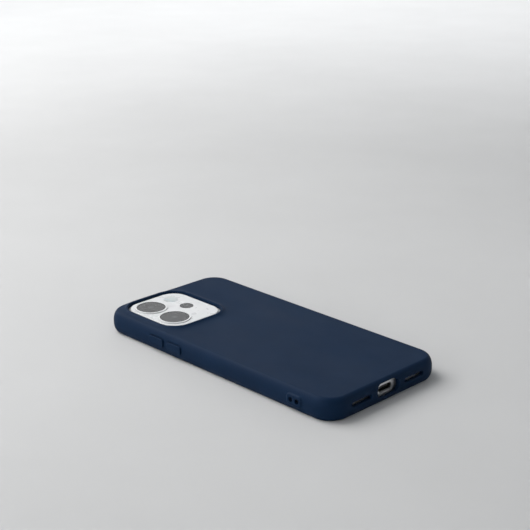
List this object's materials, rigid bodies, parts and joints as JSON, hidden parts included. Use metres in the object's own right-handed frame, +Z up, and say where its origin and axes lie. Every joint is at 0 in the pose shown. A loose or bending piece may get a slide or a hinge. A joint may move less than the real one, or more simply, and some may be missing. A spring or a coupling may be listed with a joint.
{
  "type": "smartphone in a protective case",
  "caption": "Slab smartphone lying screen down in a soft case, with a raised camera plate, side keys, a charging port window and a strap anchor.",
  "frame": {"origin": "under the middle of the case, on the surface that its lip rests on", "axes": "+Z up and away from the screen, +Y to the camera end, -Y to the charging port, +X to the right when the back is seen with the cameras at the top"},
  "size_m": [0.0748, 0.1504, 0.0113],
  "materials": {
    "case_silicone": "soft-touch matt silicone",
    "case_lining": "short microfibre nap",
    "frame_metal": "fine bead blasted",
    "antenna_plastic": "satin",
    "back_glass": "gloss, white glass backed",
    "black_adhesive": "matt",
    "plate_glass": "satin white glass",
    "ring_metal": "polished",
    "lens_window": "coated dark glass",
    "flash_plastic": "frosted",
    "steel_sheet": "rolled sheet",
    "module_black": "moulded",
    "lens_black": "blackened",
    "flash_phosphor": "phosphor",
    "screen_glass": "polished",
    "display": "laminated panel",
    "flex_circuit": "polyimide film",
    "speaker_plastic": "moulded",
    "diaphragm": "thin film",
    "battery_wrap": "foil pouch in black film",
    "white_tape": "stretch tape",
    "circuit_board": "solder mask",
    "chip": "moulded compound",
    "shield_tin": "tinned sheet",
    "connector": "moulded",
    "screw_steel": "plated",
    "spring_steel": "spring strip",
    "tungsten": "sintered",
    "port_steel": "drawn",
    "mic_can": "plated",
    "mesh_steel": "woven mesh",
    "copper": "enamelled wire",
    "magnet": "nickel plated",
    "ferrite": "sheet"
  },
  "bodies": {
    "phone": {"mid_frame": "frame_metal", "antenna_bands": "antenna_plastic", "back_glass": "back_glass", "back_glass_seal": "black_adhesive", "camera_plate": "plate_glass", "wide_lens_ring": "ring_metal", "ultrawide_lens_ring": "ring_metal", "wide_lens_window": "lens_window", "ultrawide_lens_window": "lens_window", "depth_sensor_window": "lens_window", "flash_diffuser": "flash_plastic", "camera_bracket": "steel_sheet", "wide_camera_housing": "module_black", "ultrawide_camera_housing": "module_black", "ultrawide_lens_barrel": "lens_black", "depth_sensor": "module_black", "flash_module": "flash_phosphor", "cover_glass": "screen_glass", "display_panel": "display", "display_seal": "black_adhesive", "display_flex": "flex_circuit", "front_camera": "module_black", "earpiece_housing": "speaker_plastic", "battery": "battery_wrap", "battery_adhesive": "white_tape", "battery_flex": "flex_circuit", "main_board": "circuit_board", "processor": "chip", "memory_chip": "chip", "power_and_radio_chips": "chip", "upper_shield_can": "shield_tin", "lower_shield_can": "shield_tin", "board_connectors": "connector", "board_screws": "screw_steel", "speaker_box": "speaker_plastic", "haptic_housing": "steel_sheet", "haptic_springs": "spring_steel", "usb_shell": "port_steel", "usb_tongue": "connector", "dock_flex": "flex_circuit", "bottom_microphones": "mic_can", "bottom_screws": "screw_steel", "acoustic_meshes": "mesh_steel", "charging_coil": "copper", "magnet_ring": "magnet", "ferrite_sheet": "ferrite", "key_flexes": "flex_circuit"},
    "case": {"case_shell": "case_silicone", "case_lining": "case_lining"},
    "case_volume_up_pad": {"case_volume_up_pad": "case_silicone"},
    "case_volume_down_pad": {"case_volume_down_pad": "case_silicone"},
    "case_side_key_pad": {"case_side_key_pad": "case_silicone"},
    "volume_up_key": {"volume_up_key": "frame_metal"},
    "volume_down_key": {"volume_down_key": "frame_metal"},
    "side_key": {"side_key": "frame_metal"},
    "focus_carrier": {"wide_focus_carrier": "lens_black"},
    "haptic_mass": {"haptic_mass": "tungsten"},
    "speaker_diaphragm": {"speaker_diaphragm": "diaphragm"},
    "earpiece_diaphragm": {"earpiece_diaphragm": "diaphragm"}
  },
  "joints": [
    {"name": "case_lift", "type": "slide", "parent": "phone", "child": "case", "axis": [0, 0, 1], "range_m": [0, 0.03]},
    {"name": "volume_up_pad_press", "type": "slide", "parent": "case", "child": "case_volume_up_pad", "axis": [1, 0, 0], "range_m": [0, 0.0003], "stiffness_N_per_m": 2000},
    {"name": "volume_down_pad_press", "type": "slide", "parent": "case", "child": "case_volume_down_pad", "axis": [1, 0, 0], "range_m": [0, 0.0003], "stiffness_N_per_m": 2000},
    {"name": "side_pad_press", "type": "slide", "parent": "case", "child": "case_side_key_pad", "axis": [-1, 0, 0], "range_m": [0, 0.0003], "stiffness_N_per_m": 2000},
    {"name": "volume_up_key_press", "type": "slide", "parent": "phone", "child": "volume_up_key", "axis": [1, 0, 0], "range_m": [0, 0.0003], "stiffness_N_per_m": 2000},
    {"name": "volume_down_key_press", "type": "slide", "parent": "phone", "child": "volume_down_key", "axis": [1, 0, 0], "range_m": [0, 0.0003], "stiffness_N_per_m": 2000},
    {"name": "side_key_press", "type": "slide", "parent": "phone", "child": "side_key", "axis": [-1, 0, 0], "range_m": [0, 0.0003], "stiffness_N_per_m": 2000},
    {"name": "wide_focus", "type": "slide", "parent": "phone", "child": "focus_carrier", "axis": [0, 0, 1], "range_m": [0, 0.00035], "stiffness_N_per_m": 200},
    {"name": "haptic_shake", "type": "slide", "parent": "phone", "child": "haptic_mass", "axis": [1, 0, 0], "range_m": [-0.0005, 0.0005], "stiffness_N_per_m": 1200},
    {"name": "speaker_excursion", "type": "slide", "parent": "phone", "child": "speaker_diaphragm", "axis": [0, 0, 1], "range_m": [-0.0003, 0.0003], "stiffness_N_per_m": 600},
    {"name": "earpiece_excursion", "type": "slide", "parent": "phone", "child": "earpiece_diaphragm", "axis": [0, 0, 1], "range_m": [-0.00015, 0.00015], "stiffness_N_per_m": 600}
  ],
  "couplings": [
    {"joint": "volume_up_key_press", "follows": "volume_up_pad_press", "ratio": 1},
    {"joint": "volume_down_key_press", "follows": "volume_down_pad_press", "ratio": 1},
    {"joint": "side_key_press", "follows": "side_pad_press", "ratio": 1}
  ]
}
